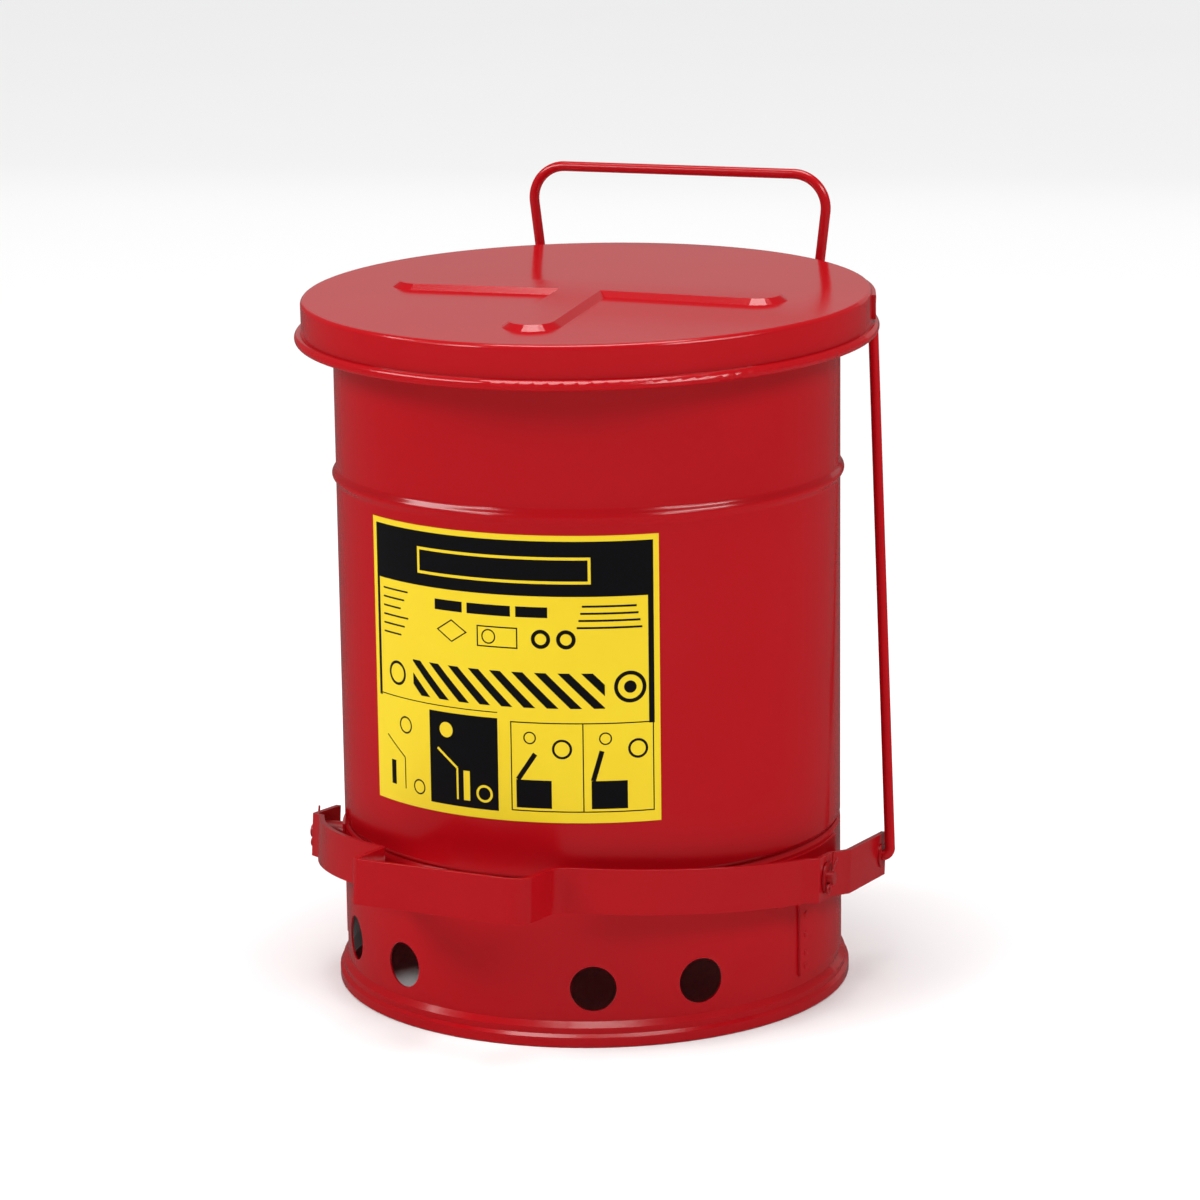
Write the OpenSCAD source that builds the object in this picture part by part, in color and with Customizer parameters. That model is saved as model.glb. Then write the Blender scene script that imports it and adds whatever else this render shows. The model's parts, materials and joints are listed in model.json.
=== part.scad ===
// Foot-operated oily waste can.
// Origin: centre of the foot ring on the floor. +Z up, the step faces -Y,
// the lid's hinge is at +Y and the link rod is on the +X side. Millimetres.

/* [Body] */
// Outside radius of the body and the foot ring
body_r = 145; // [144.5:0.1:145.5]
// Sheet thickness of the body
sheet_t = 1; // [0.8:0.1:1.2]
// Height of the top of the curled rim
rim_z = 397; // [396:0.5:397]
// Height of the stiffening bead
bead_z = 301; // [240:1:330]
// Height of the seam between the body and the foot ring
seam_z = 96; // [94:1:98]
// Diameter of the vent holes
vent_d = 26; // [20:1:28]
// Height of the vent holes' centres
vent_z = 33; // [32:1:36]

/* [Lid] */
// Height of the lid's top at its centre
lid_z = 403; // [403:0.5:405]
// Outside radius of the lid's skirt
lid_r = 163; // [162.5:0.5:163.5]
// Depth of the lid's skirt
lid_depth = 24.4; // [23:0.2:25]
// Slope of the closed lid, with the hinge side high
lid_tilt = 1.6; // [1.2:0.1:2]
// Sheet thickness of the lid
lid_t = 1.2; // [1:0.1:1.4]
// Height of the raised ribs on the lid
rib_h = 3; // [2:0.5:4]

/* [Hinge] */
// Distance of the hinge axis behind the can's centre
hinge_y = 151; // [150.5:0.1:151.5]
// Height of the hinge axis
hinge_z = 392; // [391.5:0.1:392.5]
// Radius of the hinge pins
hinge_pin_r = 3; // [2.8:0.1:3.1]

/* [Pedal] */
// Outside radius of the pedal bar's curve
bar_r = 161; // [160.5:0.1:161.5]
// Thickness of the pedal bar
bar_t = 3.2; // [3:0.1:3.4]
// Height of the pedal bar
bar_h = 25.4; // [24:0.2:26]
// Slope of the released pedal, with the step high
bar_tilt = 7.1; // [6.8:0.1:7.4]
// Distance of the pedal pivots in front of the centre
pivot_y = -42; // [-42.5:0.1:-41.5]
// Height of the pedal pivots
pivot_z = 80.4; // [80:0.1:81]
// Radius of the pedal studs
stud_r = 4; // [3.8:0.1:4.2]

/* [Wire] */
// Radius of the handle wire and the link rod
wire_r = 3; // [2.8:0.1:3]
// Height of the handle's top bar at its centreline
handle_z = 452; // [440:1:465]
// Distance of the handle behind the can's centre
handle_y = 162; // [162:0.1:163]

/* [Label] */
// Angle that the label covers round the body
label_angle = 71; // [50:1:90]
// Height of the label's lower edge
label_z = 129; // [120:1:135]
// Height of the label itself
label_h = 162; // [140:1:165]

/* [Hidden] */

red = [0.68, 0.09, 0.11];
dark_red = [0.55, 0.06, 0.08];
yellow = [0.96, 0.86, 0.10];

fit = 0.06;             // radial clearance of a running fit
weld_gap = 0.05;        // gap between sheets that are welded face to face
bend_overlap = 0.3;     // how far a straight run of wire reaches into its bend
bend_swell = 0.03;      // how much thicker the wire is through a bend

// Body
bead_h = 2.3;
bead_half = 5;
curl_r = 2.6;
curl_mid_r = body_r + 1.6;
groove_d = 1.2;
flare_z = 14;
foot_r = body_r + 5;

// Vent holes, as angles from the front towards +X
vent_angles = [-52, -28, 20, 44.6, 116, 140, 164, -124, -148, -172];

// Lid
lid_corner_r = 2.5;
roll_r = 2.9;
roll_mid_r = lid_r + 1.2;
rib_w = 34;
rib_top_w = 25;
rib_tips = [[-116, -6], [122, -6], [10, -125]];

// Hinge, all in planes square to X
ear_x = 78;
ear_t = 2.5;
bracket_x = 83.2;
bracket_t = 2.8;
ear_r = 6.5;
strap_in_r = lid_r + weld_gap;
strap_t = 2;
strap_top = -3;
strap_low = -17;
strap_half_angle = 76;
rivet_angles = [115, 140, 165, 195, 220, 245];
rivet_r = 2;

// Pedal pivots
pad_x = 156;            // outer face of the bar's flat at the pivot
pad_half = 12;
bracket_out_r = body_r + 1.7;
stud_end_x = 161;
washer_t = 1;
cotter_r = 1;
cotter_x = 158.8;
cotter_lean = -40;      // the split pins lie along the bar, leaning back

// Pedal bar in plan, as its centreline
arm_x = 162.5;          // outer face of the rear arm
arm_end_y = 56;
left_arm_run = 10;      // how far the left arm runs on behind its flat
step_right = [33, -201];
step_left = [-73, -185];
merge_angle = 68.5;     // where the curve meets the flat at the pivot

// Link rod
rod_low = [46, pivot_z - (46 - pivot_y) * tan(bar_tilt)];   // Y and Z of the lower hook
rod_top = [115, 371];                                      // Y and Z of the upper hook
rod_low_x = 168;
rod_top_x = 136.5;
rod_bend = 4.5;
rod_len = norm(rod_top - rod_low);
rod_lean = atan2(rod_top[1] - rod_low[1], rod_top[0] - rod_low[0]);
rod_washer_t = 1;
lug_out_x = rod_top_x - rod_bend - rod_washer_t - 0.7;
lug_t = 3;
slot_r = wire_r + 2.4;  // half the width of the slot that the upper hook slides in
slot_run = 8;           // how far back the slot reaches, and its slope
slot_slope = 0.5;

// ---- helpers ----

function unit(v) = v / norm(v);
function turn_of(u, v) = let (c = min(1, max(-1, u * v))) acos(c);
function left_of(u) = [-u[1], u[0]];
function side_of(u, v) = (u[0] * v[1] - u[1] * v[0]) < 0 ? -1 : 1;
function spin(p, a) = [p[0] * cos(a) - p[1] * sin(a), p[0] * sin(a) + p[1] * cos(a)];
function ring_point(r, a) = [r * sin(a), -r * cos(a)];

// Centre of the arc that rounds the corner b of the path a, b, c
function corner_centre(a, b, c, r) =
    let (u = unit(b - a), v = unit(c - b), s = side_of(u, v))
    b - u * r * tan(turn_of(u, v) / 2) + s * r * left_of(u);

// The corner b rounded to radius r, as n + 1 points
function rounded_corner(a, b, c, r, n = 6) =
    let (u = unit(b - a), v = unit(c - b), s = side_of(u, v), t = turn_of(u, v),
         o = corner_centre(a, b, c, r), start = b - u * r * tan(t / 2) - o)
    [for (i = [0:n]) o + spin(start, s * t * i / n)];

// A band of width w along a path
function path_side(p, d) =
    [for (i = [0:len(p) - 1])
        let (u = unit(p[min(i + 1, len(p) - 1)] - p[max(i - 1, 0)])) p[i] + left_of(u) * d];
function reversed(p) = [for (i = [len(p) - 1:-1:0]) p[i]];
module band(p, w) polygon(concat(path_side(p, w / 2), reversed(path_side(p, -w / 2))));

module ring(r_out, r_in, h) {
    difference() {
        cylinder(r = r_out, h = h, $fn = 64);
        translate([0, 0, -1]) cylinder(r = r_in, h = h + 2, $fn = 64);
    }
}

// Places its children with their +Z along +X, from x = at
module along_x(at, y, z) translate([at, y, z]) rotate([0, 90, 0]) children();

// Draws a flat outline, given in Y and Z, as a plate from x = at
module plate_x(at, t, outline)
    translate([at, 0, 0]) rotate([90, 0, 90]) linear_extrude(t) polygon(outline);

module mirrored_if(left) {
    if (left) mirror([1, 0, 0]) children();
    else children();
}

// Round wire along a flat path, with its corners bent to the radii given
module wire(path, bends, r) {
    last = len(path) - 1;
    function trim(i) = (i == 0 || i == last) ? 0
        : bends[i] * tan(turn_of(unit(path[i] - path[i - 1]), unit(path[i + 1] - path[i])) / 2);
    function into(i) = (i == 0 || i == last) ? 0 : bend_overlap;
    for (i = [0:last - 1]) {
        u = unit(path[i + 1] - path[i]);
        start = path[i] + u * (trim(i) - into(i));
        run = norm(path[i + 1] - path[i]) - trim(i) - trim(i + 1) + into(i) + into(i + 1);
        translate([start[0], start[1], 0]) rotate([0, 0, atan2(u[1], u[0])])
            rotate([0, 90, 0]) cylinder(r = r, h = run, $fn = 32);
    }
    for (i = [1:last - 1]) {
        u = unit(path[i] - path[i - 1]);
        v = unit(path[i + 1] - path[i]);
        o = corner_centre(path[i - 1], path[i], path[i + 1], bends[i]);
        from = path[i] - u * trim(i) - o;
        first = atan2(from[1], from[0]) - (side_of(u, v) < 0 ? turn_of(u, v) : 0);
        translate([o[0], o[1], 0]) rotate([0, 0, first])
            rotate_extrude(angle = turn_of(u, v), $fn = 96)
                translate([bends[i], 0]) rotate([0, 0, 90]) circle(r = r + bend_swell, $fn = 32);
    }
}

// Split pin along Z: an eye below, the shank through the middle, two spread legs above
module split_pin(r, half, leg) {
    eye_r = 2.2 * r;
    cylinder(r = r, h = 2 * half, center = true, $fn = 24);
    translate([0, 0, -half - eye_r]) rotate([90, 0, 0])
        rotate_extrude($fn = 32) translate([eye_r, 0]) circle(r = r * 0.8, $fn = 16);
    for (side = [-1, 1]) translate([side * r * 0.35, 0, half - r * 0.6])
        rotate([0, side * 24, 0]) cylinder(r = r * 0.6, h = leg, $fn = 16);
}

// ---- fixed to the can ----

function bump(u) = abs(u) < 1 ? (1 + cos(180 * u)) / 2 : 0;
function shell_r(z) = body_r + bead_h * bump((z - bead_z) / bead_half);

module body_shell() color(red) {
    low = seam_z + 0.6;
    heights = concat([low + 2], [for (i = [-8:8]) bead_z + bead_half * i / 8], [rim_z - curl_r - 0.3]);
    outer = concat([[body_r - groove_d, low]], [for (z = heights) [shell_r(z), z]]);
    inner = [for (p = outer) [p[0] - sheet_t, p[1]]];
    rotate_extrude($fn = 128) polygon(concat(outer, reversed(inner)));
    rotate_extrude($fn = 128) translate([curl_mid_r, rim_z - curl_r]) circle(r = curl_r, $fn = 32);
}

module base_skirt() color(red) difference() {
    top = seam_z - 0.6;
    t = sheet_t;
    rotate_extrude($fn = 128) polygon([
        [body_r - groove_d, top], [body_r, top - 2], [body_r, flare_z], [body_r + 3, flare_z - 3],
        [body_r + 3, 7.5], [foot_r, 6], [foot_r, 0.8], [foot_r - 0.8, 0], [body_r + 2.2, 0],
        [body_r + 3 - t, 1.5], [body_r + 3 - t, flare_z - 3.4], [body_r - t, flare_z - 0.4],
        [body_r - t, top - 2.4], [body_r - groove_d - t, top]]);
    for (a = vent_angles) rotate([0, 0, a - 90]) translate([body_r - 10, 0, vent_z])
        rotate([0, 90, 0]) cylinder(d = vent_d, h = 20, $fn = 64);
}

module raised_bottom() color(red) {
    edge = body_r - groove_d - sheet_t - weld_gap;
    t = sheet_t;
    rotate_extrude($fn = 128) polygon([
        [0, 97], [118, 97], [122, 100], [134, 100], [138, 97], [edge - t, 97], [edge - t, 84],
        [edge, 84], [edge, 98], [138.5, 98], [134.5, 101], [121.5, 101], [117.5, 98], [0, 98]]);
}

module label() color(yellow) {
    t = 0.25;
    translate([0, 0, label_z]) rotate([0, 0, -90 - label_angle / 2])
        rotate_extrude(angle = label_angle, $fn = 256)
            translate([body_r + weld_gap, 0]) square([t, label_h]);
}

module pivot_bracket(left) color(red) mirrored_if(left) intersection() {
    plate_x(60, 100, [[-41.7, 20], [25, 20], [25, 50], [8, 62], [8, 92], [-61, 92], [-61, 65],
                      [-46, 65], [-42.5, 62], [-41.7, 58]]);
    ring(bracket_out_r, body_r + weld_gap, 120);
}

module pivot_stud(left) color(dark_red) mirrored_if(left) difference() {
    union() {
        along_x(120, pivot_y, pivot_z) cylinder(r = 7, h = pad_x - bar_t - 0.3 - 120, $fn = 48);
        along_x(130, pivot_y, pivot_z) cylinder(r = stud_r, h = stud_end_x - 130, $fn = 48);
    }
    translate([0, 0, 40]) cylinder(r = bracket_out_r + weld_gap, h = 80, $fn = 128);
    translate([cotter_x, pivot_y, pivot_z]) rotate([cotter_lean, 0, 0])
        cylinder(r = cotter_r + 0.05, h = 20, center = true, $fn = 24);
}

module pivot_washer(left) color(dark_red) mirrored_if(left)
    along_x(pad_x + 0.35, pivot_y, pivot_z) ring(9, stud_r + 0.1, washer_t);

module pivot_cotter(left) color(dark_red) mirrored_if(left)
    translate([cotter_x, pivot_y, pivot_z]) rotate([cotter_lean, 0, 0]) rotate([0, 0, 90])
        split_pin(cotter_r, stud_r + 0.8, 11);

module hinge_bracket(left) color(red) mirrored_if(left) difference() {
    union() {
        plate_x(bracket_x, bracket_t, [[112, 352], [166, 352], [166, 397], [158, 397], [152, 398.4],
                                       [145.2, 392], [145.2, 388], [147.4, 384], [147.4, 378],
                                       [112, 378]]);
        along_x(bracket_x, hinge_y, hinge_z) cylinder(r = ear_r, h = bracket_t, $fn = 48);
    }
    translate([0, 0, 340]) cylinder(r = body_r + weld_gap, h = 60, $fn = 128);
    along_x(bracket_x - 1, hinge_y, hinge_z) cylinder(r = hinge_pin_r + 0.02, h = 6, $fn = 48);
}

module hinge_pin(left) color(dark_red) mirrored_if(left) {
    head_t = 1.5;
    in_x = ear_x - 0.4;
    out_x = bracket_x + bracket_t + weld_gap;
    // the inner head is small, to turn clear of the strap
    along_x(in_x - 1, hinge_y, hinge_z) cylinder(r = hinge_pin_r + 1.1, h = 1, $fn = 48);
    along_x(in_x - 0.1, hinge_y, hinge_z)
        cylinder(r = hinge_pin_r, h = out_x - in_x + 0.2, $fn = 48);
    along_x(out_x, hinge_y, hinge_z) cylinder(r = 5, h = head_t, $fn = 48);
}

module carry_handle() color(red) translate([0, handle_y, 0]) rotate([90, 0, 0]) {
    leg_x = bracket_x + bracket_t + wire_r + weld_gap;
    top_x = leg_x + 6.5;
    wire([[leg_x, 353], [leg_x, 398], [top_x, handle_z], [-top_x, handle_z], [-leg_x, 398],
          [-leg_x, 353]], [0, 40, 20, 20, 40, 0], wire_r);
}

// ---- moving with the lid ----

// Places the lid's own frame: its top centre at the origin, sloped as when closed
module lid_frame() translate([0, 0, lid_z]) rotate([lid_tilt, 0, 0]) children();

// One raised arm of the ribs, from the centre towards a tip, lowered by drop
module rib_arm(tip, drop) {
    reach = unit(tip) * (norm(tip) - rib_w / 2);
    hull() {
        for (p = [[0, 0], reach]) {
            translate([p[0], p[1], -0.1 - drop]) cylinder(d = rib_w, h = 0.1, $fn = 32);
            translate([p[0], p[1], -drop]) cylinder(d = rib_top_w, h = rib_h, $fn = 32);
        }
    }
}

module lid_pan() color(red) lid_frame() {
    r = lid_corner_r;
    outer = concat([[0, 0]], [for (i = [0:6]) [lid_r - r + r * sin(15 * i), -r + r * cos(15 * i)]],
                   [[lid_r, -lid_depth + roll_r]]);
    ri = r - lid_t;
    inner = concat([[lid_r - lid_t, -lid_depth + roll_r]],
                   [for (i = [6:-1:0]) [lid_r - r + ri * sin(15 * i), -r + ri * cos(15 * i)]],
                   [[0, -lid_t]]);
    difference() {
        union() {
            rotate_extrude($fn = 128) polygon(concat(outer, inner));
            rotate_extrude($fn = 128)
                translate([roll_mid_r, -lid_depth + roll_r]) circle(r = roll_r, $fn = 32);
            for (tip = rib_tips) rib_arm(tip, 0);
        }
        for (tip = rib_tips) rib_arm(tip, lid_t);
        for (a = rivet_angles) rivet_at(a) cylinder(r = rivet_r, h = 12, center = true, $fn = 24);
    }
}

module rivet_at(a) rotate([0, 0, a - 90]) translate([lid_r, 0, (strap_top + strap_low) / 2])
    rotate([0, 90, 0]) children();

module hinge_strap() color(red) lid_frame() difference() {
    rotate([0, 0, 90 - strap_half_angle]) rotate_extrude(angle = 2 * strap_half_angle, $fn = 256)
        translate([strap_in_r, strap_low]) square([strap_t, strap_top - strap_low]);
    for (a = rivet_angles) rivet_at(a) cylinder(r = rivet_r, h = 12, center = true, $fn = 24);
}

module strap_rivets() color(dark_red) lid_frame() for (a = rivet_angles) rivet_at(a) {
    translate([0, 0, -lid_t - 1.3]) cylinder(r = 3.6, h = 1.25, $fn = 32);
    translate([0, 0, -lid_t - 0.1]) cylinder(r = rivet_r, h = lid_t + strap_t + 0.3, $fn = 32);
    translate([0, 0, strap_t + 2 * weld_gap]) cylinder(r = 3.6, h = 1.4, $fn = 32);
}

// The space that the lid and its strap fill, for trimming what is welded on
module lid_space() lid_frame() {
    translate([0, 0, strap_low - 2]) cylinder(r = strap_in_r + strap_t + weld_gap, h = 30, $fn = 128);
    translate([0, 0, -lid_depth - 0.2])
        cylinder(r = roll_mid_r + roll_r + 0.1, h = 2 * roll_r + 0.4, $fn = 128);
}

module hinge_ear(left) color(red) mirrored_if(left) difference() {
    union() {
        plate_x(ear_x, ear_t, [[138, 391], [151, 385.5], [155, 398], [146, 405], [138, 405]]);
        along_x(ear_x, hinge_y, hinge_z) cylinder(r = ear_r, h = ear_t, $fn = 48);
    }
    lid_space();
    along_x(ear_x - 1, hinge_y, hinge_z) cylinder(r = hinge_pin_r + fit, h = 6, $fn = 48);
}

module rod_lug() color(red) difference() {
    plate_x(lug_out_x - lug_t, lug_t, [[104, 362], [107, 359], [125, 359], [131, 366], [131, 382],
                                       [128, 386], [114, 400], [90, 400], [90, 390], [112, 390],
                                       [112, 380], [104, 378]]);
    lid_space();
    // the slot that lets the rod's hook slide as the lid turns
    for (run = [0, slot_run])
        along_x(lug_out_x - lug_t - 1, rod_top[0] + run, rod_top[1] + run * slot_slope)
            cylinder(r = slot_r, h = lug_t + 2, $fn = 48);
    translate([lug_out_x - lug_t - 1, rod_top[0], rod_top[1]]) rotate([atan(slot_slope), 0, 0])
        translate([0, 0, -slot_r])
            cube([lug_t + 2, slot_run / cos(atan(slot_slope)), 2 * slot_r]);
}

// ---- moving with the pedal ----

// Centreline of the bar in plan, from the rear of the right arm to the left arm
function bar_line() =
    let (r = bar_r - bar_t / 2, x = pad_x - bar_t / 2, xa = arm_x - bar_t / 2,
         root_r = [step_right[0] + 1, -sqrt(r * r - (step_right[0] + 1) * (step_right[0] + 1))],
         root_l = [step_left[0] - 1, -sqrt(r * r - (step_left[0] - 1) * (step_left[0] - 1))],
         az_r = atan2(root_r[0], -root_r[1]), az_l = atan2(root_l[0], -root_l[1]),
         near_r = ring_point(r, az_r + 10), near_l = ring_point(r, az_l - 6))
    concat(
        [[xa, arm_end_y], [xa, pivot_y + pad_half + 14], [x, pivot_y + pad_half],
         [x, pivot_y - pad_half]],
        [for (i = [0:24]) ring_point(r, merge_angle + (az_r + 10 - merge_angle) * i / 24)],
        rounded_corner(near_r, root_r, step_right, 12),
        rounded_corner(root_r, step_right, step_left, 9),
        rounded_corner(step_right, step_left, root_l, 5),
        rounded_corner(step_left, root_l, near_l, 5),
        [for (i = [0:18]) ring_point(r, az_l - 6 - (merge_angle + az_l - 6) * i / 18)],
        [[-x, pivot_y - pad_half], [-x, pivot_y + pad_half + left_arm_run]]);

module pedal_bar() color(red) difference() {
    translate([0, pivot_y, pivot_z]) rotate([-bar_tilt, 0, 0])
        translate([0, -pivot_y, -bar_h / 2]) linear_extrude(bar_h) band(bar_line(), bar_t);
    for (at = [-170, 140]) along_x(at, pivot_y, pivot_z) cylinder(r = stud_r + fit, h = 30, $fn = 48);
    along_x(140, rod_low[0], rod_low[1]) cylinder(r = wire_r + fit, h = 30, $fn = 48);
}

// ---- moving with the link rod ----

module link_rod() color(red) difference() {
    translate([0, rod_low[0], rod_low[1]]) rotate([rod_lean, 0, 0])
        wire([[150, 0], [rod_low_x, 0], [rod_top_x, rod_len], [119, rod_len]],
             [0, rod_bend, rod_bend, 0], wire_r);
    translate([154.5, rod_low[0], rod_low[1]]) cylinder(r = 0.85, h = 12, center = true, $fn = 24);
    translate([122.5, rod_top[0], rod_top[1]]) cylinder(r = 0.85, h = 12, center = true, $fn = 24);
}

module rod_washer_lower() color(dark_red)
    along_x(arm_x + 0.15, rod_low[0], rod_low[1]) ring(7, wire_r + 0.1, rod_washer_t - 0.15);

module rod_washer_upper() color(dark_red)
    along_x(lug_out_x + 0.35, rod_top[0], rod_top[1]) ring(8, wire_r + 0.1, rod_washer_t - 0.1);

module rod_cotter(x, at) color(dark_red) translate([x, at[0], at[1]]) rotate([0, 0, 90])
    split_pin(0.8, wire_r + 0.4, 3);

body_shell();
base_skirt();
raised_bottom();
label();
pivot_bracket(true);  // pivot_bracket_left
pivot_bracket(false);  // pivot_bracket_right
pivot_stud(true);  // pivot_stud_left
pivot_stud(false);  // pivot_stud_right
pivot_washer(true);  // pivot_washer_left
pivot_washer(false);  // pivot_washer_right
pivot_cotter(true);  // pivot_cotter_left
pivot_cotter(false);  // pivot_cotter_right
hinge_bracket(true);  // hinge_bracket_left
hinge_bracket(false);  // hinge_bracket_right
hinge_pin(true);  // hinge_pin_left
hinge_pin(false);  // hinge_pin_right
carry_handle();
lid_pan();
hinge_strap();
hinge_ear(true);  // hinge_ear_left
hinge_ear(false);  // hinge_ear_right
rod_lug();
strap_rivets();
pedal_bar();
link_rod();
rod_washer_lower();
rod_washer_upper();
rod_cotter(154.5, rod_low);  // rod_cotter_lower
rod_cotter(122.5, rod_top);  // rod_cotter_upper
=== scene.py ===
# %% [markdown]
# # A foot-operated oily waste can
#
# The can is painted sheet steel: a drum on a vented foot ring, a lid that a
# pedal lifts through a rod at the side, and a wire handle behind the lid. Its
# sizes and moving bodies come from a finished CAD model, so this lesson gives
# it paint, a printed label, small details, light and a camera.

# %% Load the CAD model
import json
import math

import bpy
from mathutils import Matrix, Vector


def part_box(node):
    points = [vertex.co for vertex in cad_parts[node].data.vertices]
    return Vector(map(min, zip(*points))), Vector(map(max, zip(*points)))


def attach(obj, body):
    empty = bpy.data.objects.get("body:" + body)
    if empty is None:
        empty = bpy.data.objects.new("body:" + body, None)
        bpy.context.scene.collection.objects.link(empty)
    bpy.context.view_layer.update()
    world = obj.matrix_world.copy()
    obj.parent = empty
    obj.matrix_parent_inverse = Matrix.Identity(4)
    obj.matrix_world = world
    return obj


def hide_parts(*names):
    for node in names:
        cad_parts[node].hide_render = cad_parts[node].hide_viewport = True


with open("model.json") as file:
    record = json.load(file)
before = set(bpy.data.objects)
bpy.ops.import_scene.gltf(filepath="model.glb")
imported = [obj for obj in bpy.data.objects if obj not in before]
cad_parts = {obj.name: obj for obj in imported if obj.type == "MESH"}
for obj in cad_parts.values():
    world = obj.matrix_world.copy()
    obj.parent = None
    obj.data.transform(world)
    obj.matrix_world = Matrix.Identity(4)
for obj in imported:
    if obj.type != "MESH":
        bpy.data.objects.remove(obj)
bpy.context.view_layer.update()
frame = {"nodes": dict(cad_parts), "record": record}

MM = 0.001
bodies = frame["record"]["behaviour"]["bodies"]
slot_of = {part["node"]: part["material_slot"] for part in frame["record"]["subparts"]}
print("bodies:", {name: len(nodes) for name, nodes in bodies.items()})

# %% [markdown]
# ## Camera
#
# The can is seen from a little above and from its right front, with a long
# lens, so its upright sides stay almost parallel. The camera's place is
# worked out from a turn round the can, a distance and a height. It looks
# down, a touch to one side of the can's axis, with a tiny roll.

# %% Place the camera
TURN = math.radians(20.4)        # round the can, from its front
PITCH = math.radians(13.0)       # downwards
YAW = math.radians(0.139)        # to the right of the can's axis
ROLL = math.radians(0.723)       # about the line of sight
DISTANCE = 2.3931                # from the can's axis, in plan
CAMERA_HEIGHT = 0.7742
LENS, SENSOR_WIDTH = 127.05, 36  # in millimetres
CLIP_END = 100

camera_data = bpy.data.cameras.new("camera")
camera_data.sensor_width = SENSOR_WIDTH
camera_data.lens = LENS
camera_data.clip_end = CLIP_END
camera = bpy.data.objects.new("camera", camera_data)
bpy.context.scene.collection.objects.link(camera)
bpy.context.scene.camera = camera
camera_place = Vector((DISTANCE * math.sin(TURN), -DISTANCE * math.cos(TURN), CAMERA_HEIGHT))
camera.matrix_world = (
    Matrix.Translation(camera_place)
    @ Matrix.Rotation(TURN - YAW, 4, "Z")
    @ Matrix.Rotation(math.pi / 2 - PITCH, 4, "X")
    @ Matrix.Rotation(-ROLL, 4, "Z")
)
print("camera at", [round(v, 3) for v in camera_place])

# %% [markdown]
# ## Shader arithmetic
#
# A pattern is easier to read as a formula than as a web of nodes. The class
# below wraps one socket. Adding or multiplying wrapped sockets adds the Math
# nodes, and `node` adds any other kind of node. Each operator also has its
# reflected form, so a number may stand on the left. That of < is >.

# %% A socket that can be calculated with
class Wrapped:
    def __init__(self, tree, socket=None):
        self.tree, self.socket = tree, socket

    def node(self, kind, settings=None, output=0, **inputs):
        """Add a node. Its inputs go by name, or by number as i0, i1 and so on."""
        made = self.tree.nodes.new(kind)
        for name, value in (settings or {}).items():
            setattr(made, name, value)
        for name, value in inputs.items():
            numbered = name[0] == "i" and name[1:].isdigit()
            socket = made.inputs[int(name[1:]) if numbered else name.replace("_", " ")]
            if isinstance(value, Wrapped):
                self.tree.links.new(value.socket, socket)
            else:
                socket.default_value = value
        return Wrapped(self.tree, made.outputs[output])

    def math(self, operation, *values):
        inputs = {f"i{n}": value for n, value in enumerate(values)}
        return self.node("ShaderNodeMath", {"operation": operation}, **inputs)

    def __add__(self, other): return self.math("ADD", self, other)
    def __radd__(self, other): return self.math("ADD", other, self)
    def __sub__(self, other): return self.math("SUBTRACT", self, other)
    def __rsub__(self, other): return self.math("SUBTRACT", other, self)
    def __mul__(self, other): return self.math("MULTIPLY", self, other)
    def __rmul__(self, other): return self.math("MULTIPLY", other, self)
    def __truediv__(self, other): return self.math("DIVIDE", self, other)
    def __rtruediv__(self, other): return self.math("DIVIDE", other, self)
    def __lt__(self, other): return self.math("LESS_THAN", self, other)
    def __gt__(self, other): return self.math("GREATER_THAN", self, other)
    def __or__(self, other): return self.math("MAXIMUM", self, other)
    def __ror__(self, other): return self.math("MAXIMUM", other, self)

    def near(self, middle, reach):
        """1 where this value is within reach of middle, and 0 elsewhere."""
        return self.math("COMPARE", self, middle, reach)


print("wrapped sockets understand + - * / < > and |")


# %% Start a paint and feed its shader
def new_paint(name):
    """A material, its shader, and Object coordinates as one wrapped vector."""
    material = bpy.data.materials.new(name)
    material.use_nodes = True
    tree = material.node_tree
    at = Wrapped(tree).node("ShaderNodeTexCoord", output="Object")
    return material, tree.nodes["Principled BSDF"], at


def feed(shader, socket_name, value):
    value.tree.links.new(value.socket, shader.inputs[socket_name])


def noise(at, scale, detail=2.0):
    return at.node("ShaderNodeTexNoise", Vector=at, Scale=scale, Detail=detail)


def bumped(at, height, depth):
    return at.node("ShaderNodeBump", Height=height, Strength=1.0, Distance=depth)


print("paint helpers ready")


# %% Mix colours
def blended(mask, colour_a, colour_b):
    """colour_a where mask is 0, and colour_b where it is 1."""
    ends = {"i6": colour_a, "i7": colour_b}
    return mask.node("ShaderNodeMix", {"data_type": "RGBA"}, output=2, Factor=mask, **ends)


def srgb(red, green, blue):
    """A colour as painters' swatches give it, made linear for the shader."""
    def linear(c):
        c /= 255
        return c / 12.92 if c <= 0.04045 else ((c + 0.055) / 1.055) ** 2.4
    return (linear(red), linear(green), linear(blue), 1.0)


print("swatch 128 is", round(srgb(128, 128, 128)[0], 3), "in linear light")

# %% [markdown]
# ## Red enamel
#
# The whole can is sprayed with one glossy red powder coat. Close up it has a
# fine orange peel, which only shows in the highlights, and the film is a
# little thicker in one place than in another. The orange peel is a bump about
# two hundredths of a millimetre deep, and the film changes colour and gloss.

# %% Mix the enamels
PEEL_SCALE, PEEL_DETAIL = 420, 1.0    # waves of the orange peel in one metre
PEEL_DEPTH = 0.02 * MM
FILM_SCALE, FILM_DETAIL = 9, 4.0
GLOSS_SPREAD = 0.08
ENAMEL_SPECULAR = 0.45


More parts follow.
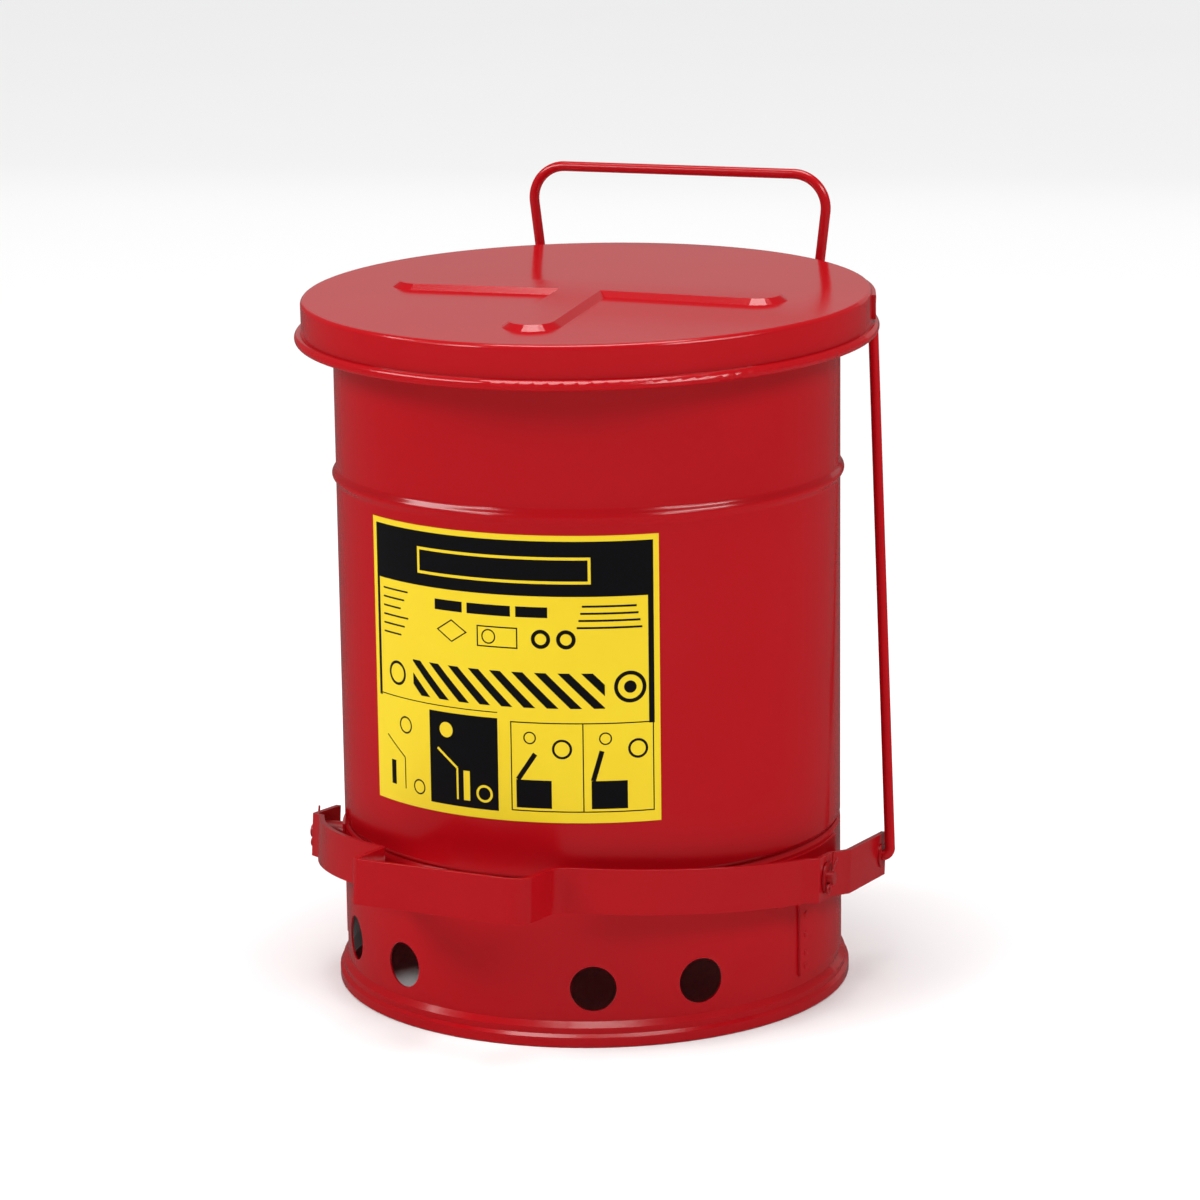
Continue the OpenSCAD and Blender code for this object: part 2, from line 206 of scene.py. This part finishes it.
def enamel(name, light, dark, roughness):
    material, shader, at = new_paint(name)
    film = noise(at, FILM_SCALE, FILM_DETAIL)
    feed(shader, "Base Color", blended(film, dark, light))
    feed(shader, "Roughness", roughness - GLOSS_SPREAD / 2 + GLOSS_SPREAD * film)
    feed(shader, "Normal", bumped(at, noise(at, PEEL_SCALE, PEEL_DETAIL), PEEL_DEPTH))
    shader.inputs["Specular IOR Level"].default_value = ENAMEL_SPECULAR
    return material


paint = {
    "can_red": enamel("enamel_can", srgb(180, 10, 21), srgb(170, 8, 18), 0.15),
    "lid_red": enamel("enamel_lid", srgb(182, 11, 22), srgb(172, 9, 19), 0.14),
    "pedal_red": enamel("enamel_pedal", srgb(174, 10, 20), srgb(162, 8, 18), 0.18),
    "wire_red": enamel("enamel_wire", srgb(184, 12, 22), srgb(172, 10, 19), 0.18),
    "fastener_red": enamel("enamel_fastener", srgb(168, 14, 22), srgb(144, 10, 18), 0.28),
}
print("enamels:", sorted(paint))

# %% [markdown]
# ## The printed label
#
# The label is a yellow film with black print, wrapped round the front. Its
# layout is drawn by the material: a height and an angle round the drum become
# a flat sheet in millimetres, and each shape is a mask on that sheet. All the
# shapes are plain ones: a header band, rules, stripes, rings, boxes, slanted
# strokes and an empty rhombus. There is no lettering.

# %% Flatten the label
LABEL_ANGLE = math.radians(71)
LABEL_R = 145
label_low, label_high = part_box("label")
SHEET_W = LABEL_ANGLE * LABEL_R
SHEET_H = (label_high.z - label_low.z) / MM

label_paint, label_shader, label_at = new_paint("label_print")
parted = label_at.node("ShaderNodeSeparateXYZ", Vector=label_at).socket.node
x, y, z = (Wrapped(label_at.tree, out) for out in parted.outputs)
across = (x.math("ARCTAN2", x, 0 - y) + LABEL_ANGLE / 2) * LABEL_R
up = (z - label_low.z) / MM
print(f"label sheet {SHEET_W:.0f} x {SHEET_H:.0f} mm")


# %% Boxes and joined masks
def box(left, right, low, high):
    return across.near((left + right) / 2, (right - left) / 2) * up.near(
        (low + high) / 2, (high - low) / 2)


def frame_line(left, right, low, high, width):
    inner = box(left + width, right - width, low + width, high - width)
    return box(left, right, low, high) - inner


def all_of(*masks):
    joined = masks[0]
    for mask in masks[1:]:
        joined = joined | mask
    return joined


print("boxes ready")


# %% Round and slanted shapes
def disc(at_x, at_y, radius):
    dx, dy = across - at_x, up - at_y
    return dx * dx + dy * dy < radius * radius


def ring(at_x, at_y, radius, width):
    return disc(at_x, at_y, radius) - disc(at_x, at_y, radius - width)


def rhombus(at_x, at_y, half_w, half_h):
    dx, dy = across - at_x, up - at_y
    return dx.math("ABSOLUTE", dx) / half_w + dy.math("ABSOLUTE", dy) / half_h < 1.0


def stroke(x0, y0, x1, y1, width):
    """A straight line of the given width from one point to another."""
    length = math.hypot(x1 - x0, y1 - y0)
    ux, uy = (x1 - x0) / length, (y1 - y0) / length
    dx, dy = across - (x0 + x1) / 2, up - (y0 + y1) / 2
    along = dx * ux + dy * uy
    side = dy * ux - dx * uy
    return along.near(0, length / 2) * side.near(0, width / 2)


print("round and slanted shapes ready")

# %% Draw the header and the bars
EDGE = 3.2                       # yellow margin round the print
HEADER_LOW = SHEET_H - 34
BAR_TOP = HEADER_LOW + 1         # the bars run up into the header
header = box(left=EDGE, right=SHEET_W - EDGE, low=HEADER_LOW, high=SHEET_H - EDGE)
plate = frame_line(left=38, right=142, low=SHEET_H - 27, high=SHEET_H - 12, width=1.6)
side_bars = all_of(box(left=EDGE, right=EDGE + 2.4, low=60, high=BAR_TOP),
                   box(left=SHEET_W - EDGE - 3.2, right=SHEET_W - EDGE, low=56, high=BAR_TOP))
print(f"header {SHEET_H - EDGE - HEADER_LOW:.1f} mm high")

# %% Draw the rules and the title bars
TITLE_LOW, TITLE_HIGH = 116, 122
TITLE_BARS = ((50, 68), (71, 97), (100, 118))    # left and right ends
title = all_of(*[box(left, right, TITLE_LOW, TITLE_HIGH) for left, right in TITLE_BARS])
left_rules = [box(left=9, right=24 + 3 * (n % 3), low=97 + 5 * n, high=98 + 5 * n)
              for n in range(6)]
right_rules = [box(left=134 + n, right=170 - n, low=110 + 4 * n, high=111.2 + 4 * n)
               for n in range(4)]
small_rules = all_of(*left_rules, *right_rules)
print(len(TITLE_BARS), "title bars and", len(left_rules) + len(right_rules), "rules")

# %% Draw the stripes, rings and empty frames
STRIPE_PITCH = 13.0
MARK_Y = 104                     # middle line of the small marks
lean = across + up
in_stripe = lean.math("MODULO", lean, STRIPE_PITCH) < STRIPE_PITCH / 2
stripes = box(left=33, right=149, low=65, high=85) * in_stripe
empty_rhombus = (rhombus(at_x=61, at_y=105, half_w=10, half_h=6.5)
                 - rhombus(at_x=61, at_y=105, half_w=8.6, half_h=5.6))
marks = all_of(empty_rhombus, frame_line(left=77, right=101, low=98, high=110, width=0.8),
               ring(at_x=84, at_y=MARK_Y, radius=4.2, width=0.8),
               ring(at_x=114, at_y=MARK_Y, radius=5.4, width=2.2),
               ring(at_x=128, at_y=MARK_Y, radius=5.4, width=2.2))
ends = all_of(ring(at_x=20, at_y=75, radius=7, width=1.6),
              ring(at_x=163, at_y=77, radius=9, width=2.2),
              disc(at_x=163, at_y=77, radius=3.5))
print("stripes every", STRIPE_PITCH, "mm")

# %% Draw the two left panels
PANEL_SPLIT = 88.5               # right side of the dark panel
FOOT_Y = 9                       # foot of the tall thin bars
dark_panel = box(left=44.5, right=PANEL_SPLIT, low=5, high=58)
dark_marks = all_of(disc(at_x=56, at_y=48, radius=4.4),
                    stroke(x0=50, y0=37, x1=63, y1=27, width=1.4),
                    box(left=62.4, right=63.6, low=FOOT_Y, high=27),
                    box(left=67, right=71, low=FOOT_Y, high=26),
                    ring(at_x=80, at_y=14, radius=5, width=1.4))
pale_marks = all_of(ring(at_x=26, at_y=46, radius=5, width=1.0),
                    stroke(x0=10, y0=38, x1=25, y1=27, width=0.8),
                    box(left=24.6, right=25.4, low=FOOT_Y, high=27),
                    box(left=13, right=17, low=10, high=24),
                    ring(at_x=36, at_y=12, radius=4.4, width=0.9))
print("left panels end at", PANEL_SPLIT, "mm")

# %% Draw the two right panels
BOX_W, BOX_LOW, BOX_HIGH = 20, 8, 24
PANEL_LOW, PANEL_HIGH, PANEL_LINE = 6, 57, 0.7


def open_box(left, lid_run, lid_rise):
    """A filled box with its lid swung up, below two small rings."""
    return all_of(
        box(left, left + BOX_W, BOX_LOW, BOX_HIGH),
        stroke(x0=left + 1, y0=BOX_HIGH, x1=left + lid_run, y1=BOX_HIGH + 1 + lid_rise,
               width=2.8),
        ring(at_x=left + 8, at_y=48, radius=3.6, width=0.8),
        ring(at_x=left + 26, at_y=42, radius=5.6, width=1.4))


panels = all_of(frame_line(96, 137, PANEL_LOW, PANEL_HIGH, PANEL_LINE),
                frame_line(136.3, 176, PANEL_LOW, PANEL_HIGH, PANEL_LINE),
                box(left=EDGE + 2, right=PANEL_SPLIT, low=61, high=61.6))
right_boxes = all_of(open_box(left=99, lid_run=11, lid_rise=14),
                     open_box(left=141, lid_run=6, lid_rise=16))
ink = all_of(header - plate, side_bars, stripes, small_rules, title, marks, ends,
             dark_panel - dark_marks, pale_marks, panels, right_boxes)
print("label layout drawn")

# %% Print it
YELLOW = srgb(240, 214, 30)
DEEP_YELLOW = srgb(238, 202, 24)
INK = srgb(10, 8, 12)
FADE_SCALE, FADE_DETAIL = 14, 3.0
GRAIN_SCALE, GRAIN_DETAIL = 900, 1.0
GRAIN_DEPTH = 0.006 * MM
FILM_ROUGHNESS, FILM_SPREAD = 0.30, 0.12
FILM_SPECULAR = 0.3
fade = noise(label_at, FADE_SCALE, FADE_DETAIL)
feed(label_shader, "Base Color", blended(ink, blended(fade, DEEP_YELLOW, YELLOW), INK))
feed(label_shader, "Roughness", FILM_ROUGHNESS + FILM_SPREAD * fade)
film_grain = noise(label_at, GRAIN_SCALE, GRAIN_DETAIL)
feed(label_shader, "Normal", bumped(label_at, film_grain, GRAIN_DEPTH))
label_shader.inputs["Specular IOR Level"].default_value = FILM_SPECULAR
paint["label_yellow"] = label_paint
print("label nodes:", len(label_paint.node_tree.nodes))

# %% [markdown]
# ## Paint the CAD pieces
#
# Each CAD piece already names its finish in the record, so a loop gives every
# piece its material.

# %% Give each CAD piece its paint
def paint_piece(piece, slot_name):
    piece.data.materials.clear()
    piece.data.materials.append(paint[slot_name])


for node_name, piece in frame["nodes"].items():
    paint_piece(piece, slot_of[node_name])
print("painted", len(frame["nodes"]), "CAD pieces")

# %% [markdown]
# ## Rounded edges on the bent bar and the plates
#
# The pedal is a flat steel bar and the brackets are cut plates. Real edges are
# never sharp: the cutting leaves a small round, and the powder coat fattens
# it, so each edge catches a thin line of light. A copy of the CAD piece has
# its loose triangles merged and its flat faces joined up, and a Bevel modifier
# rounds what is left. Weighted normals then keep the flat faces flat.

# %% Copy a CAD piece
MERGE_DISTANCE = 0.01 * MM
FLAT_ANGLE = math.radians(1.5)


def only_select(piece):
    bpy.ops.object.select_all(action="DESELECT")
    piece.select_set(True)
    bpy.context.view_layer.objects.active = piece


def copied(node_name, new_name):
    """A free copy of a CAD piece, as one merged mesh."""
    source = frame["nodes"][node_name]
    piece = bpy.data.objects.new(new_name, source.data.copy())
    bpy.context.scene.collection.objects.link(piece)
    only_select(piece)
    bpy.ops.mesh.customdata_custom_splitnormals_clear()
    bpy.ops.object.mode_set(mode="EDIT")
    bpy.ops.mesh.select_all(action="SELECT")
    bpy.ops.mesh.remove_doubles(threshold=MERGE_DISTANCE)
    bpy.ops.mesh.dissolve_limited(angle_limit=FLAT_ANGLE)
    bpy.ops.object.mode_set(mode="OBJECT")
    return piece


print(f"corners closer than {MERGE_DISTANCE / MM:.2f} mm are merged")

# %% Round the copy's edges
SHARP_ANGLE = math.radians(32)


def rounded(node_name, body, width, segments=2):
    piece = copied(node_name, node_name + "_rounded")
    bevel = piece.modifiers.new("edge_round", "BEVEL")
    bevel.width, bevel.segments = width, segments
    bevel.limit_method, bevel.angle_limit = "ANGLE", SHARP_ANGLE
    bevel.use_clamp_overlap = True
    bpy.ops.object.modifier_apply(modifier=bevel.name)
    bpy.ops.object.shade_smooth_by_angle(angle=SHARP_ANGLE)
    normals = piece.modifiers.new("flat_faces", "WEIGHTED_NORMAL")
    normals.keep_sharp = True
    bpy.ops.object.modifier_apply(modifier=normals.name)
    paint_piece(piece, slot_of[node_name])
    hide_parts(node_name)
    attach(piece, body)
    print(f"{piece.name}: {len(piece.data.polygons)} faces")


# %% Round the bar and the plates
BAR_ROUND = 0.7 * MM
PLATE_ROUND = 0.4 * MM
EAR_ROUND = 0.3 * MM
rounded("pedal_bar", "pedal", BAR_ROUND, segments=3)
for side in ("left", "right"):
    rounded("pivot_bracket_" + side, "can", PLATE_ROUND)
    rounded("hinge_bracket_" + side, "can", PLATE_ROUND)
    rounded("hinge_ear_" + side, "lid", EAR_ROUND)
rounded("rod_lug", "lid", PLATE_ROUND)

# %% [markdown]
# ## Weld spots
#
# Each pedal bracket is spot welded to the foot ring along its front edge. A
# weld leaves a small round pimple under the paint. One is modelled: a sphere,
# flattened, its hidden half cut away and closed. All of them are copies of
# it, joined into one piece, and the model itself is removed.

# %% Model one weld spot
SPOT_R = 1.9 * MM
SPOT_PROUD = 0.7 * MM
SPOT_BURIED = 0.1 * MM


def model_weld_spot(name):
    """A shallow dome that faces +X, at the origin."""
    bpy.ops.object.select_all(action="DESELECT")
    bpy.ops.mesh.primitive_uv_sphere_add(segments=20, ring_count=12, radius=SPOT_R,
                                         rotation=(0, math.pi / 2, 0))
    spot_piece = bpy.context.object
    spot_piece.name = name
    spot_piece.scale = (1, 1, SPOT_PROUD / SPOT_R)
    bpy.ops.object.transform_apply(location=True, rotation=True, scale=True)
    bpy.ops.object.mode_set(mode="EDIT")
    bpy.ops.mesh.select_all(action="SELECT")
    bpy.ops.mesh.bisect(plane_co=(-SPOT_BURIED, 0, 0), plane_no=(1, 0, 0), use_fill=True,
                        clear_inner=True)
    bpy.ops.object.mode_set(mode="OBJECT")
    bpy.ops.object.shade_smooth_by_angle(angle=SHARP_ANGLE)
    return spot_piece


first_spot = model_weld_spot("weld_spot")
print("one weld spot:", len(first_spot.data.polygons), "faces")

# %% Set the weld spots along both brackets
PLATE_R = 146.7 * MM             # outside of the bracket plates
SPOT_Y = -36.5 * MM
SPOT_HEIGHTS = [v * MM for v in (56, 44, 33, 25)]
spots = []
for side in (-1, 1):
    turn = math.atan2(SPOT_Y, side * math.sqrt(PLATE_R ** 2 - SPOT_Y ** 2))
    for height in SPOT_HEIGHTS:
        dome = first_spot.copy()
        dome.data = first_spot.data.copy()
        bpy.context.scene.collection.objects.link(dome)
        dome.data.transform(Matrix.Rotation(turn, 4, "Z")
                            @ Matrix.Translation((PLATE_R, 0, height)))
        spots.append(dome)
bpy.data.objects.remove(first_spot)
print("weld spots:", len(spots))

# %% Join the weld spots
bpy.ops.object.select_all(action="DESELECT")
for dome in spots:
    dome.select_set(True)
bpy.context.view_layer.objects.active = spots[0]
bpy.ops.object.join()
weld_spots = bpy.context.object
weld_spots.name = "weld_spots"
paint_piece(weld_spots, "can_red")
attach(weld_spots, "can")
print(f"{weld_spots.name}: {len(weld_spots.data.polygons)} faces")

# %% [markdown]
# ## Floor and light
#
# The can stands on a plain pale floor. A very soft light straight overhead
# evens out the floor and the top of the lid. Two wide soft boxes, left and
# right, hang high, so that only what faces upwards mirrors them: the lid's
# front edge, the bead and the foot ring get short bright lines, and the
# upright wall stays a calm red. A dim panel behind the can gives the lid its
# sheen and is hidden from the camera. The floor is hidden from reflections,
# so the can's edges stay deep instead of mirroring it.

# %% Lay the floor
FLOOR_SIZE = 60
FLOOR_NOISE = 0.8
FLOOR_ROUGHNESS = 0.9
bpy.ops.object.select_all(action="DESELECT")
bpy.ops.mesh.primitive_plane_add(size=FLOOR_SIZE, location=(0, 0, 0))
floor = bpy.context.object
floor.name = "floor"
floor_paint, floor_shader, floor_at = new_paint("floor_pale")
feed(floor_shader, "Base Color", blended(
    noise(floor_at, FLOOR_NOISE), srgb(247, 247, 247), srgb(250, 250, 250)))
floor_shader.inputs["Roughness"].default_value = FLOOR_ROUGHNESS
floor_shader.inputs["Specular IOR Level"].default_value = 0.0
floor.data.materials.append(floor_paint)
floor.visible_glossy = False
print("floor", FLOOR_SIZE, "m square")


# %% Hang the soft boxes
def soft_box(name, place, aim, width, height, power):
    data = bpy.data.lights.new(name, "AREA")
    data.shape, data.size, data.size_y, data.energy = "RECTANGLE", width, height, power
    light = bpy.data.objects.new(name, data)
    bpy.context.scene.collection.objects.link(light)
    light.location = place
    light.rotation_euler = (Vector(aim) - Vector(place)).to_track_quat("-Z", "Y").to_euler()
    return light


CAN_MIDDLE = (0, 0, 0.22)
STRIP_DISTANCE, STRIP_Z, STRIP_DEPTH = 2.2, 1.9, 0.8
for side, degrees, width, power in (("left", -50, 2.2, 44), ("right", 73, 1.6, 32)):
    turn = math.radians(degrees)
    place = (STRIP_DISTANCE * math.sin(turn), -STRIP_DISTANCE * math.cos(turn), STRIP_Z)
    soft_box("strip_" + side, place, CAN_MIDDLE, width, STRIP_DEPTH, power)
rear_panel = soft_box("rear_panel", place=(-0.6, 3.4, 1.1), aim=(0, 0, 0.4),
                      width=4.0, height=1.2, power=3.4)
rear_panel.visible_camera = False

# %% Add the overhead light and the dim world
OVERHEAD_STRENGTH, OVERHEAD_SPREAD = 2.4, math.radians(40)
WORLD_STRENGTH = 0.12
overhead_data = bpy.data.lights.new("overhead", "SUN")
overhead_data.energy, overhead_data.angle = OVERHEAD_STRENGTH, OVERHEAD_SPREAD
overhead = bpy.data.objects.new("overhead", overhead_data)
bpy.context.scene.collection.objects.link(overhead)

world = bpy.data.worlds.new("studio")
world.use_nodes = True
backdrop = world.node_tree.nodes["Background"]
backdrop.inputs["Color"].default_value = (1, 1, 1, 1)
backdrop.inputs["Strength"].default_value = WORLD_STRENGTH
bpy.context.scene.world = world
bpy.context.scene.view_settings.view_transform = "Standard"
print("world strength", WORLD_STRENGTH)
